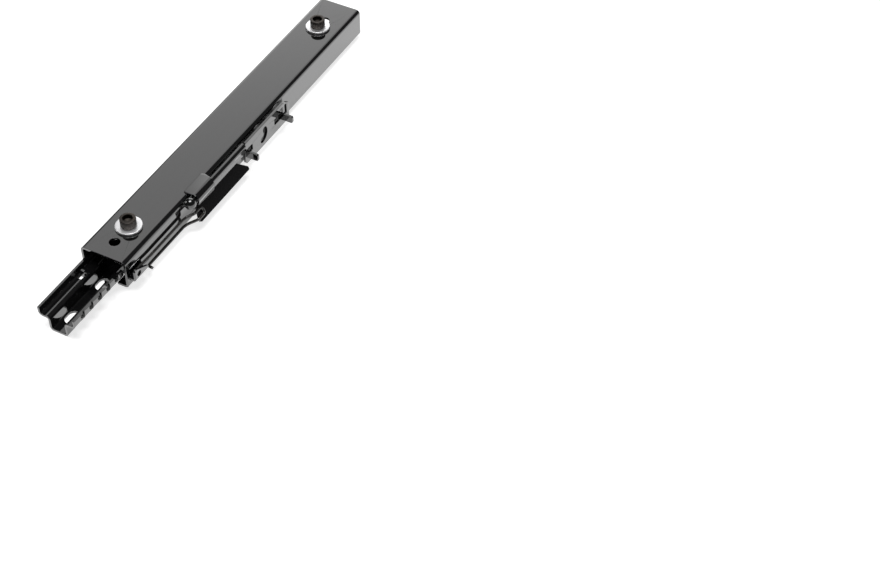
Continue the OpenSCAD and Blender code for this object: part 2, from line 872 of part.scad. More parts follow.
// Ladder frame that keeps the rollers apart
module roller_cage() {
    x0 = -rear_roller_x - cage_end;
    x1 = front_roller_x + cage_end;
    bar_w = 6;
    inset = 14;
    spread = x1 - x0 - 2 * cage_end - 2 * inset;
    color([0.85, 0.84, 0.8])
        difference() {
            union() {
                for (side = [-1, 1])
                    translate([x0, side > 0 ? cage_in_y : -cage_out_y, roller_z - cage_half_h])
                        cube([x1 - x0, cage_out_y - cage_in_y, 2 * cage_half_h]);
                for (f = [0, 1 / 3, 2 / 3, 1])
                    translate([x0 + cage_end + inset + f * spread - bar_w / 2, -cage_out_y, roller_z])
                        cube([bar_w, 2 * cage_out_y, cage_half_h]);
            }
            for (x = [-rear_roller_x, front_roller_x])
                translate([x, cage_out_y + 1, roller_z])
                    rotate([90, 0, 0])
                        cylinder(d = journal_d + 2 * journal_gap, h = 2 * cage_out_y + 2);
        }
}

// Roller with a journal at each end, turned about Y
module roller(x) {
    edge = 0.8;
    color([0.6, 0.6, 0.62])
        translate([x, 0, roller_z])
            rotate([90, 0, 0])
                rotate_extrude()
                    polygon([
                        [0, -cage_out_y],
                        [journal_d / 2, -cage_out_y],
                        [journal_d / 2, -roller_half],
                        [roller_d / 2 - edge, -roller_half],
                        [roller_d / 2, -roller_half + edge],
                        [roller_d / 2, roller_half - edge],
                        [roller_d / 2 - edge, roller_half],
                        [journal_d / 2, roller_half],
                        [journal_d / 2, cage_out_y],
                        [0, cage_out_y]
                    ]);
}

module front_roller() {
    roller(front_roller_x);
}

module rear_roller() {
    roller(-rear_roller_x);
}

function bearing_x(i) = retainer_x + (i - (ball_count - 1) / 2) * retainer_len / ball_count;

// Comb strip with an open pocket for each ball; side is +1 on the latch side
retainer_gap = 0.4;
pocket_gap = 0.1;
module ball_retainer(side) {
    y0 = lip_y + retainer_gap;
    y1 = inner_y - retainer_gap;
    z0 = lip_z + retainer_gap;
    z1 = wing_h - 1.2;
    color([0.85, 0.84, 0.8])
        difference() {
            along_x(retainer_x - retainer_len / 2, retainer_len)
                round_rect(side > 0 ? y0 : -y1, side > 0 ? y1 : -y0, z0, z1, fold_in - retainer_gap / 2);
            for (i = [0:ball_count - 1])
                upright_bore(bearing_x(i), side * bearing_y, bearing_d + 2 * pocket_gap, z0 - 1, z1 + 1);
        }
}

module left_ball_retainer() {
    ball_retainer(1);
}

module right_ball_retainer() {
    ball_retainer(-1);
}

module balls(side) {
    color([0.75, 0.75, 0.77])
        for (i = [0:ball_count - 1])
            translate([bearing_x(i), side * bearing_y, bearing_z])
                sphere(d = bearing_d);
}

module left_balls() {
    balls(1);
}

module right_balls() {
    balls(-1);
}

lower_rail();
upper_rail();
front_weld_nut();
rear_weld_nut();
front_bolt();
rear_bolt();
front_washer();
rear_washer();
pivot_hood();
pivot_rod();
latch_lever();
lock_comb();
return_spring();
roller_cage();
front_roller();
rear_roller();
left_ball_retainer();
right_ball_retainer();
left_balls();
right_balls();
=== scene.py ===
"""Looks of a seat slide rail: painted rails, sprung side latch, seat screws and a rolling set."""

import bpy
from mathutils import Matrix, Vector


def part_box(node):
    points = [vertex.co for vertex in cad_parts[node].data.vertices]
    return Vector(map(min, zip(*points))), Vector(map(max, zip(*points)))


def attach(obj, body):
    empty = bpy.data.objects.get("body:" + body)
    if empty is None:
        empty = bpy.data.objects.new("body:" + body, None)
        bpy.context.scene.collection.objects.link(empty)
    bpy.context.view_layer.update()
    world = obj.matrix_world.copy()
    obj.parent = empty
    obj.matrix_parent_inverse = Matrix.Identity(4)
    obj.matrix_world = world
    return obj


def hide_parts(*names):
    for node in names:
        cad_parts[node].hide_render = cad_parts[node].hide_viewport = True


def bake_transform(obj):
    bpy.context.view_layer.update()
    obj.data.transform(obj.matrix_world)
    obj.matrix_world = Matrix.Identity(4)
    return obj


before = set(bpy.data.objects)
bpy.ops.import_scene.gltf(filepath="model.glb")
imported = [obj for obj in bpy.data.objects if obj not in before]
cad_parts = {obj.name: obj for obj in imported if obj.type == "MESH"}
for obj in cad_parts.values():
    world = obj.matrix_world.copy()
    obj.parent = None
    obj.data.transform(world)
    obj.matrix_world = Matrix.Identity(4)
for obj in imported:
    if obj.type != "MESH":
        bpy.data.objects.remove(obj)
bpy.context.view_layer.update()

import math

import bmesh
import bpy
from bpy.props import (FloatProperty, FloatVectorProperty, IntProperty,
                       PointerProperty)
from mathutils import Matrix, Vector

bl_info = {
    "name": "Seat slide rail",
    "version": (1, 0, 0),
    "blender": (4, 5, 0),
    "location": "View3D > Sidebar > Slide rail",
    "description": "Builds the looks of a seat slide rail around its solids",
    "category": "Object",
}

MM = 0.001
X_AXIS = Vector((1, 0, 0))
Z_AXIS = Vector((0, 0, 1))
WHITE = (1, 1, 1, 1)
QUARTER = math.pi / 2

# Points nearer to each other than this are merged
MERGE_GAP = 2e-6
# Edges of a solid that fold by more than this many degrees are rounded
FOLD_ANGLE = 38.0

# Middle of the lever's curved slot, as x and z, and how far its own edges reach from there
SLOT_MIDDLE = (-64.0 * MM, 17.8 * MM)
SLOT_REACH = 9.0 * MM

# Part of the upper rail's side that the lever covers, in millimetres, and the fade at its borders
COVERED = {"X": (-105.0, -38.6), "Z": (5.0, 26.0)}
COVERED_FADE = 1.5
# Depth over which the shade fades out under the side's outer face, in millimetres
SIDE_SKIN = (19.4, 19.8)

# Broken edges of the pivot rod
ROD_BREAK = 0.6 * MM

# Screw head: rounding of its top, the socket's rim, and where the knurl starts and ends
HEAD_ROUND = 0.45 * MM
RIM_LAND = 0.25 * MM
RIM_BREAK = 0.2 * MM
KNURL_LOW = 0.9 * MM
KNURL_TOP = HEAD_ROUND + 0.3 * MM
# How far the head's foot draws in, and at which height
FOOT_STEPS = ((0.25 * MM, 0.5 * MM), (0.35 * MM, 0.0))
# Socket: the hexagon's drop under the rim, the flat round its bottom, and the drill's point
HEXAGON_DROP = 0.25 * MM
BOTTOM_FLAT = 0.5 * MM
DRILL_WIDTH = 1.4 * MM
DRILL_DEPTH = 0.7 * MM
# Shank: fillet under the head, plain length, thread's end before the tip, and the tip's taper
NECK_FILLET = 0.2 * MM
PLAIN_LENGTH = 3.0 * MM
THREAD_END = 1.1 * MM
TIP_TAPER = 1.0 * MM
# Thread depth and half the width of its crests and roots, as shares of the pitch
THREAD_DEPTH = 0.61
THREAD_FLAT = 0.05
# Degrees by which the second screw is turned on from the first
SECOND_TURN = 21

# Washer: rolled upper edges and the burr broken off below
WASHER_ROLL = 0.55 * MM
WASHER_BURR = 0.2 * MM

# Middle line of the spring wire, in millimetres, from the ear to the flap and back
WIRE_ROUTE = (
    (110.4, 25.4, 16.15), (110.4, 23.8, 16.15), (108.6, 22.6, 16.15), (104.0, 22.4, 16.1),
    (90.0, 22.4, 15.0), (47.4, 22.4, 15.0), (43.0, 23.2, 15.05), (38.4, 27.5, 16.88),
    (29.3, 27.6, 16.88), (29.2, 30.6, 12.29), (38.4, 30.71, 12.29), (43.0, 23.4, 8.05),
    (47.4, 22.4, 8.0), (90.0, 22.4, 8.0), (94.9, 22.6, 8.1), (95.94, 27.2, 9.2),
)
# Most of a leg that a bend of the wire may take up, and the steps of a bend
BEND_SHARE = 0.46
BEND_STEPS = 6
# Broken edges at the wire's cut ends
WIRE_BREAK = 0.3 * MM

# Camera: place, line of sight, roll in degrees, and lens and film in millimetres
CAMERA_PLACE = (0.7497, 0.5928, 0.8553)
CAMERA_SIGHT = (-0.6213, -0.3093, -0.7197)
CAMERA_ROLL = 1.01
CAMERA_LENS = 65.22
CAMERA_FILM = 36.0
# Table: its radius, the width of its outer ring, and its glow to the camera and in gloss
TABLE_RADIUS = 14.0
TABLE_RING = 9.0
TABLE_GLOW = 0.74
TABLE_MIRRORED = 0.88
# Even light from all round
ROOM_LIGHT = 0.06
# Direction that the lit card faces, seen from above, as y for each x
CARD_FACING = 0.614
# What is left of the card's light at its dim flank
CARD_DIM = 0.04


def length_prop(name, default, description):
    return FloatProperty(name=name, description=description, default=default,
                         min=0.0, unit="LENGTH", precision=5)


def colour_prop(name, default, description):
    return FloatVectorProperty(name=name, description=description, default=default,
                               size=3, min=0.0, max=1.0, subtype="COLOR")


class SLIDERAIL_PG_sizes(bpy.types.PropertyGroup):
    """Sizes of the finishing work on the pieces."""
    rail_edge: length_prop("Rail edge", 0.22 * MM, "Rounding of the rails' sheet edges")
    latch_edge: length_prop("Latch edge", 0.25 * MM, "Rounding of latch plates and weld nuts")
    small_edge: length_prop("Small edge", 0.12 * MM, "Rounding of rollers, cage and retainers")
    rod_radius: length_prop("Rod radius", 3.0 * MM, "Radius of the pivot rod")
    head_radius: length_prop("Head radius", 6.25 * MM, "Radius of a screw head")
    head_height: length_prop("Head height", 7.0 * MM, "Height of a screw head")
    screw_radius: length_prop("Screw radius", 4.0 * MM, "Outer radius of the thread")
    screw_length: length_prop("Screw length", 16.0 * MM, "Length of a screw under its head")
    thread_pitch: length_prop("Thread pitch", 1.25 * MM, "Distance from thread to thread")
    socket_flats: length_prop("Socket flats", 6.4 * MM, "Hexagon socket across its flats")
    socket_depth: length_prop("Socket depth", 4.0 * MM, "Depth of the hexagon socket")
    knurl_depth: length_prop("Knurl depth", 0.14 * MM, "Depth of the grooves round the head")
    washer_bore: length_prop("Washer bore", 4.3 * MM, "Radius of a washer's hole")
    wire_radius: length_prop("Wire radius", 1.2 * MM, "Radius of the spring wire")
    wire_bend: length_prop("Wire bend", 3.0 * MM, "Radius of the spring wire's bends")
    turns: IntProperty(name="Turned steps", description="Steps round a screw",
                       default=96, min=24, max=192)


class SLIDERAIL_PG_finish(bpy.types.PropertyGroup):
    """Colours of the finishes."""
    paint: colour_prop("Black paint", (0.005, 0.005, 0.0053), "Gloss paint on rails and latch")
    oxide: colour_prop("Black oxide", (0.06, 0.054, 0.05), "Blackened steel of the screws")
    zinc: colour_prop("Zinc", (0.92, 0.92, 0.93), "Plating of the washers")
    steel: colour_prop("Bare steel", (0.52, 0.52, 0.54), "Comb, rollers, balls and nuts")
    spring: colour_prop("Spring steel", (0.02, 0.019, 0.018), "Oil-blackened spring wire")
    nylon: colour_prop("Nylon", (0.74, 0.73, 0.69), "Cage and ball retainers")
    floor: colour_prop("Floor", (0.62, 0.62, 0.62), "Table top under the rail")


# Selecting and shaping

def clear_selection():
    if bpy.context.mode != "OBJECT":
        bpy.ops.object.mode_set(mode="OBJECT")
    bpy.ops.object.select_all(action="DESELECT")
    bpy.context.view_layer.objects.active = None


def take(piece):
    """Makes a piece the only selected one."""
    clear_selection()
    piece.select_set(True)
    bpy.context.view_layer.objects.active = piece


def edit(piece):
    take(piece)
    bpy.ops.object.mode_set(mode="EDIT")


def leave_edit():
    bpy.ops.object.mode_set(mode="OBJECT")


def pick(kind, test):
    """In edit mode, selects only the verts, edges or faces that pass a test; returns how many."""
    bpy.ops.mesh.select_mode(type=kind)
    bpy.ops.mesh.select_all(action="DESELECT")
    mesh = bpy.context.edit_object.data
    grid = bmesh.from_edit_mesh(mesh)
    items = {"VERT": grid.verts, "EDGE": grid.edges, "FACE": grid.faces}[kind]
    count = 0
    for item in items:
        if test(item):
            item.select_set(True)
            count += 1
    grid.select_flush_mode()
    bmesh.update_edit_mesh(mesh)
    return count


def need(count, what):
    if not count:
        raise RuntimeError("nothing selected for " + what)


def merge_doubles():
    """In edit mode, merges points that lie on each other."""
    bpy.ops.mesh.select_all(action="SELECT")
    bpy.ops.mesh.remove_doubles(threshold=MERGE_GAP)


def close_up():
    """In edit mode, merges doubled points and turns all faces outwards."""
    merge_doubles()
    bpy.ops.mesh.select_all(action="SELECT")
    bpy.ops.mesh.normals_make_consistent(inside=False)


def apply_modifier(piece, kind, **values):
    take(piece)
    modifier = piece.modifiers.new(kind.title(), kind)
    for key, value in values.items():
        setattr(modifier, key, value)
    bpy.ops.object.modifier_apply(modifier=modifier.name)


def start_piece(name):
    """New mesh piece at the origin that holds a single vertex."""
    clear_selection()
    bpy.ops.mesh.primitive_plane_add(size=MM)
    piece = bpy.context.active_object
    piece.name = piece.data.name = name
    bpy.ops.object.mode_set(mode="EDIT")
    bpy.ops.mesh.select_all(action="SELECT")
    bpy.ops.mesh.merge(type="CENTER")
    leave_edit()
    return piece


def arc(centre, radius, first, last, steps):
    """Points of an arc from the first angle to the last, as pairs."""
    points = []
    for step in range(steps + 1):
        angle = first + (last - first) * step / steps
        points.append((centre[0] + radius * math.cos(angle),
                       centre[1] + radius * math.sin(angle)))
    return points


def draw_line(piece, points):
    """Moves the lone vertex to the first point and extrudes it from point to point."""
    edit(piece)
    bpy.ops.mesh.select_mode(type="VERT")
    bpy.ops.mesh.select_all(action="SELECT")
    bpy.ops.transform.translate(value=Vector(points[0]))
    for here, there in zip(points, points[1:]):
        bpy.ops.mesh.extrude_region_move(
            TRANSFORM_OT_translate={"value": Vector(there) - Vector(here)})
    leave_edit()


def turn(piece, centre, axis, steps):
    """Spins the drawn line round an axis into a closed turned piece."""
    edit(piece)
    bpy.ops.mesh.select_all(action="SELECT")
    bpy.ops.mesh.spin(steps=steps, angle=math.tau, center=centre, axis=axis, dupli=False)
    close_up()
    leave_edit()


def smooth(piece, degrees=32.0):
    take(piece)
    bpy.ops.object.shade_smooth_by_angle(angle=math.radians(degrees))


def softened(node, name, edge, spare=None):
    """Copy of a solid with its sheet edges rounded but for spared ones, shown in its place."""
    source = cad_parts[node]
    piece = bpy.data.objects.new(name, source.data.copy())
    bpy.context.scene.collection.objects.link(piece)
    piece.data.materials.clear()
    edit(piece)
    bpy.ops.mesh.customdata_custom_splitnormals_clear()
    merge_doubles()
    bpy.ops.mesh.select_all(action="SELECT")
    bpy.ops.mesh.mark_sharp(clear=True)

    def folded(side):
        sharp = len(side.link_faces) == 2 and side.calc_face_angle() > math.radians(FOLD_ANGLE)
        return sharp and not (spare and spare(side))
    need(pick("EDGE", folded), "the edges of " + name)
    bpy.ops.transform.edge_bevelweight(value=1.0)
    leave_edit()
    apply_modifier(piece, "BEVEL", width=edge, segments=2, limit_method="WEIGHT",
                   use_clamp_overlap=False, miter_outer="MITER_ARC", harden_normals=False)
    smooth(piece)
    apply_modifier(piece, "WEIGHTED_NORMAL", keep_sharp=True, weight=60)
    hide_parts(node)
    return piece


def settle(piece, body, material):
    """Puts a finish on a piece and lets it ride on its body."""
    piece.data.materials.clear()
    piece.data.materials.append(material)
    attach(piece, body)
    clear_selection()


# Shader nodes

def new_group(name, inputs, outputs):
    """Empty node group with named sockets, with its first and last node."""
    group = bpy.data.node_groups.new(name, "ShaderNodeTree")
    for socket, kind, value in inputs:
        made = group.interface.new_socket(socket, in_out="INPUT", socket_type=kind)
        made.default_value = value
    for socket, kind in outputs:
        group.interface.new_socket(socket, in_out="OUTPUT", socket_type=kind)
    return group, group.nodes.new("NodeGroupInput"), group.nodes.new("NodeGroupOutput")


def noise(tree, where, scale, detail, rough=0.55):
    node = tree.nodes.new("ShaderNodeTexNoise")
    node.inputs["Scale"].default_value = scale
    node.inputs["Detail"].default_value = detail
    node.inputs["Roughness"].default_value = rough
    tree.links.new(where, node.inputs["Vector"])
    return node.outputs["Fac"]


def spread(tree, value, span, result=(0.0, 1.0)):
    """Maps a span of values to another one."""
    node = tree.nodes.new("ShaderNodeMapRange")
    for key, number in zip(("From Min", "From Max", "To Min", "To Max"), (*span, *result)):
        node.inputs[key].default_value = number
    tree.links.new(value, node.inputs["Value"])
    return node.outputs["Result"]


def maths(tree, operation, left, right):
    """Joins two values, each a number or another node's output."""
    node = tree.nodes.new("ShaderNodeMath")
    node.operation = operation
    for socket, part in zip(node.inputs, (left, right)):
        if isinstance(part, (int, float)):
            socket.default_value = part
        else:
            tree.links.new(part, socket)
    return node.outputs[0]


def blend_colour(tree, share, first, second):
    node = tree.nodes.new("ShaderNodeMix")
    node.data_type = "RGBA"
    tree.links.new(share, node.inputs["Factor"])
    for key, part in (("A", first), ("B", second)):
        socket = [s for s in node.inputs if s.name == key and s.type == "RGBA"][0]
        tree.links.new(part, socket)
    return [s for s in node.outputs if s.type == "RGBA"][0]


def node_of(tree, kind):
    return next(node for node in tree.nodes if node.type == kind)


def with_alpha(colour):
    return (*colour, 1.0)


# Effects that finishes share

def paint_skin_group():
    """Sprayed skin: slow waves, orange peel, dust in the paint and handling haze."""
    group, start, end = new_group(
        "Paint skin",
        [("Vector", "NodeSocketVector", (0, 0, 0)),
         ("Colour", "NodeSocketColor", (0, 0, 0, 1)),
         ("Haze Colour", "NodeSocketColor", (0.05, 0.05, 0.05, 1)),
         ("Gloss", "NodeSocketFloat", 0.16), ("Haze", "NodeSocketFloat", 0.1),
         ("Peel", "NodeSocketFloat", 0.3)],
        [("Colour", "NodeSocketColor"), ("Roughness", "NodeSocketFloat"),
         ("Height", "NodeSocketFloat")])
    where = start.outputs["Vector"]
    slow = noise(group, where, scale=38.0, detail=2.0)
    peel = noise(group, where, scale=620.0, detail=2.0)
    dust = noise(group, where, scale=1900.0, detail=1.0)
    specks = spread(group, dust, (0.70, 0.76))
    cloud = spread(group, noise(group, where, scale=16.0, detail=5.0, rough=0.62), (0.42, 0.72))
    haze = maths(group, "MULTIPLY", cloud, start.outputs["Haze"])
    veil = maths(group, "MAXIMUM", haze, maths(group, "MULTIPLY", specks, 0.35))
    group.links.new(blend_colour(group, veil, start.outputs["Colour"],
                                 start.outputs["Haze Colour"]), end.inputs["Colour"])
    rough = maths(group, "ADD", start.outputs["Gloss"],
                  maths(group, "MULTIPLY", haze, 0.35))
    waves = spread(group, slow, (0.3, 0.7), (-0.02, 0.02))
    group.links.new(maths(group, "ADD", rough, waves), end.inputs["Roughness"])
    height = maths(group, "ADD", maths(group, "MULTIPLY", peel, start.outputs["Peel"]),
                   maths(group, "MULTIPLY", slow, 0.6))
    group.links.new(maths(group, "ADD", height, maths(group, "MULTIPLY", specks, 0.25)),
                    end.inputs["Height"])
    return group


def metal_grain_group():
    """Bare or plated metal: fine grain, stains and light scratches."""
    group, start, end = new_group(
        "Metal grain",
        [("Vector", "NodeSocketVector", (0, 0, 0)),
         ("Colour", "NodeSocketColor", (0.5, 0.5, 0.5, 1)),
         ("Stain Colour", "NodeSocketColor", (0.2, 0.18, 0.16, 1)),
         ("Roughness", "NodeSocketFloat", 0.3), ("Stain", "NodeSocketFloat", 0.2)],
        [("Colour", "NodeSocketColor"), ("Roughness", "NodeSocketFloat"),
         ("Height", "NodeSocketFloat")])
    where = start.outputs["Vector"]
    stretch = group.nodes.new("ShaderNodeMapping")
    stretch.inputs["Scale"].default_value = (0.12, 1.0, 1.0)
    group.links.new(where, stretch.inputs["Vector"])
    scratch = noise(group, stretch.outputs["Vector"], scale=2600.0, detail=2.0)
    grain = noise(group, where, scale=1500.0, detail=3.0)
    cloud = spread(group, noise(group, where, scale=120.0, detail=5.0, rough=0.65), (0.40, 0.72))
    stain = maths(group, "MULTIPLY", cloud, start.outputs["Stain"])
    group.links.new(blend_colour(group, stain, start.outputs["Colour"],
                                 start.outputs["Stain Colour"]), end.inputs["Colour"])
    rough = maths(group, "ADD", start.outputs["Roughness"],
                  spread(group, grain, (0.3, 0.7), (-0.06, 0.08)))
    group.links.new(maths(group, "ADD", rough, maths(group, "MULTIPLY", stain, 0.25)),
                    end.inputs["Roughness"])
    group.links.new(maths(group, "ADD", maths(group, "MULTIPLY", grain, 0.6),
                          maths(group, "MULTIPLY", scratch, 0.5)), end.inputs["Height"])
    return group


def spray_shadow_group():
    """Where the lever keeps the spray off the upper rail's side: thin, dull paint."""
    group, start, end = new_group(
        "Spray shadow",
        [("Vector", "NodeSocketVector", (0, 0, 0)), ("Roughness", "NodeSocketFloat", 0.1)],
        [("Roughness", "NodeSocketFloat"), ("Coat", "NodeSocketFloat")])
    parts = group.nodes.new("ShaderNodeSeparateXYZ")
    group.links.new(start.outputs["Vector"], parts.inputs[0])
    shade = spread(group, parts.outputs["Y"], [depth * MM for depth in SIDE_SKIN])
    for axis, (low, high) in COVERED.items():
        for border, inner in ((low, low + COVERED_FADE), (high, high - COVERED_FADE)):
            fade = spread(group, parts.outputs[axis], (border * MM, inner * MM))
            shade = maths(group, "MULTIPLY", shade, fade)
    group.links.new(maths(group, "ADD", start.outputs["Roughness"],
                          maths(group, "MULTIPLY", shade, 0.4)), end.inputs["Roughness"])
    group.links.new(maths(group, "SUBTRACT", 1.0, shade), end.inputs["Coat"])
    return group


EFFECTS = {
    "Paint skin": paint_skin_group,
    "Metal grain": metal_grain_group,
    "Spray shadow": spray_shadow_group,
}


def place_effect(tree, name, values):
    """Puts a shared effect, built the first time it is asked for, into a material."""
    effect = tree.nodes.new("ShaderNodeGroup")
    effect.node_tree = bpy.data.node_groups.get(name) or EFFECTS[name]()
    for key, value in values.items():
        effect.inputs[key].default_value = value
    return effect


# Finishes

def finish_material(label, effect, values, bump, **constants):
    """Material whose colour, roughness and relief come from a shared effect."""
    material = bpy.data.materials.new(label)
    material.use_nodes = True
    tree = material.node_tree
    shader = node_of(tree, "BSDF_PRINCIPLED")
    place = tree.nodes.new("ShaderNodeTexCoord")
    skin = place_effect(tree, effect, values)
    tree.links.new(place.outputs["Object"], skin.inputs["Vector"])
    relief = tree.nodes.new("ShaderNodeBump")
    relief.inputs["Strength"].default_value, relief.inputs["Distance"].default_value = bump
    tree.links.new(skin.outputs["Height"], relief.inputs["Height"])
    tree.links.new(skin.outputs["Colour"], shader.inputs["Base Color"])
    tree.links.new(skin.outputs["Roughness"], shader.inputs["Roughness"])
    tree.links.new(relief.outputs["Normal"], shader.inputs["Normal"])
    for key, value in constants.items():
        shader.inputs[key.replace("_", " ")].default_value = value
    return material


def black_paint(label, colours):
    """Gloss paint with a smooth top coat."""
    return finish_material(
        label, "Paint skin",
        {"Colour": with_alpha(colours.paint), "Haze Colour": (0.03, 0.03, 0.031, 1),
         "Gloss": 0.06, "Haze": 0.06, "Peel": 0.10},
        bump=(0.08, 0.03 * MM), IOR=1.5, Coat_Weight=1.0, Coat_Roughness=0.03, Coat_IOR=1.6)


def shaded_paint(label, colours):
    """The black paint, with the spray shadow between its skin and its shader."""
    material = black_paint(label, colours)
    tree = material.node_tree
    shader = node_of(tree, "BSDF_PRINCIPLED")
    skin = node_of(tree, "GROUP")
    place = node_of(tree, "TEX_COORD")
    shadow = place_effect(tree, "Spray shadow", {})
    tree.links.new(place.outputs["Object"], shadow.inputs["Vector"])
    tree.links.new(skin.outputs["Roughness"], shadow.inputs["Roughness"])
    tree.links.new(shadow.outputs["Roughness"], shader.inputs["Roughness"])
    tree.links.new(shadow.outputs["Coat"], shader.inputs["Coat Weight"])
    return material


def nylon(label, colours):
    """Moulded, slightly yellowed plastic."""
    return finish_material(
        label, "Paint skin",
        {"Colour": with_alpha(colours.nylon), "Haze Colour": (0.5, 0.48, 0.42, 1),
         "Gloss": 0.42, "Haze": 0.35, "Peel": 0.4},
        bump=(0.2, 0.1 * MM), IOR=1.5)


def metal(label, colour, stain_colour, rough, stain, **constants):
    """What the four metals have in common."""
    return finish_material(
        label, "Metal grain",
        {"Colour": with_alpha(colour), "Stain Colour": stain_colour, "Roughness": rough,
         "Stain": stain},
        bump=(0.12, 0.05 * MM), **constants)


def black_oxide(label, colours):
    """Blackened steel with brownish stains."""
    return metal(label, colours.oxide, (0.09, 0.07, 0.055, 1), rough=0.34, stain=0.35,
                 Metallic=1.0, IOR=1.5)


def zinc(label, colours):
    """Bright plating, a little clouded."""
    return metal(label, colours.zinc, (0.74, 0.74, 0.77, 1), rough=0.40, stain=0.3,
                 Metallic=1.0, IOR=1.5)


def steel(label, colours):
    """Bare steel with handling stains."""
    return metal(label, colours.steel, (0.30, 0.28, 0.26, 1), rough=0.26, stain=0.3,
                 Metallic=1.0, IOR=1.5)


def spring_steel(label, colours):
    """Spring wire under a dark skin of oil."""
    return metal(label, colours.spring, (0.05, 0.042, 0.036, 1), rough=0.20, stain=0.3,
                 Metallic=0.0, IOR=1.7)


FINISHES = {
    "black_paint": black_paint,
    "shaded_paint": shaded_paint,
    "nylon": nylon,
    "black_oxide": black_oxide,
    "zinc": zinc,
    "steel": steel,
    "spring_steel": spring_steel,
}


def finish(name):
    """The named finish, made the first time it is asked for."""
    label = name + "_finish"
    made = bpy.data.materials.get(label)
    return made or FINISHES[name](label, bpy.context.scene.slide_rail_finish)


# Pieces

class SLIDERAIL_OT_rails(bpy.types.Operator):
    """Lower and upper rail with rounded sheet edges and gloss paint"""
    bl_idname = "sliderail.rails"
    bl_label = "Rails"

    def execute(self, context):
        edge = context.scene.slide_rail_sizes.rail_edge
        for node, body, paint in (("lower_rail", "lower", "black_paint"),
                                  ("upper_rail", "upper", "shaded_paint")):
            piece = softened(node, node + "_sheet", edge)
            settle(piece, body, finish(paint))
        return {"FINISHED"}


class SLIDERAIL_OT_latch(bpy.types.Operator):
    """Latch lever, lock comb and pivot hood with rounded edges"""
    bl_idname = "sliderail.latch"
    bl_label = "Latch plates"

    def in_slot(self, side):
        """True for the short edges of the curved slot."""
        reach = [math.hypot(vert.co.x - SLOT_MIDDLE[0], vert.co.z - SLOT_MIDDLE[1])
                 for vert in side.verts]
        return max(reach) < SLOT_REACH

    def execute(self, context):
        edge = context.scene.slide_rail_sizes.latch_edge
        for node, body, slot, spare in (("latch_lever", "latch", "black_paint", self.in_slot),
                                        ("lock_comb", "latch", "steel", None),
                                        ("pivot_hood", "upper", "black_paint", None)):
            piece = softened(node, node + "_plate", edge, spare)
            settle(piece, body, finish(slot))
        return {"FINISHED"}


class SLIDERAIL_OT_rod(bpy.types.Operator):
    """Pivot rod turned in one piece with its ball end"""
    bl_idname = "sliderail.rod"
    bl_label = "Pivot rod"

    def execute(self, context):
        low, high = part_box("pivot_rod")
        middle = (low + high) / 2
        rod_r = context.scene.slide_rail_sizes.rod_radius
        ball_r = (high.z - low.z) / 2
        ball_x = high.x - ball_r
        meet = math.asin(rod_r / ball_r)
        neck_x = ball_x - ball_r * math.cos(meet) - ROD_BREAK
        points = [(low.x, 0.0), (low.x, rod_r - ROD_BREAK), (low.x + ROD_BREAK, rod_r),
                  (neck_x, rod_r)]
        points += arc((ball_x, 0.0), ball_r, math.pi - meet, 0.0, steps=24)
        rod = start_piece("pivot_rod_turned")
        draw_line(rod, [(x, middle.y, middle.z + r) for x, r in points])
        turn(rod, (0, middle.y, middle.z), X_AXIS, steps=64)
        smooth(rod, degrees=40.0)
        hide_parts("pivot_rod")
        settle(rod, "latch", finish("black_paint"))
        return {"FINISHED"}


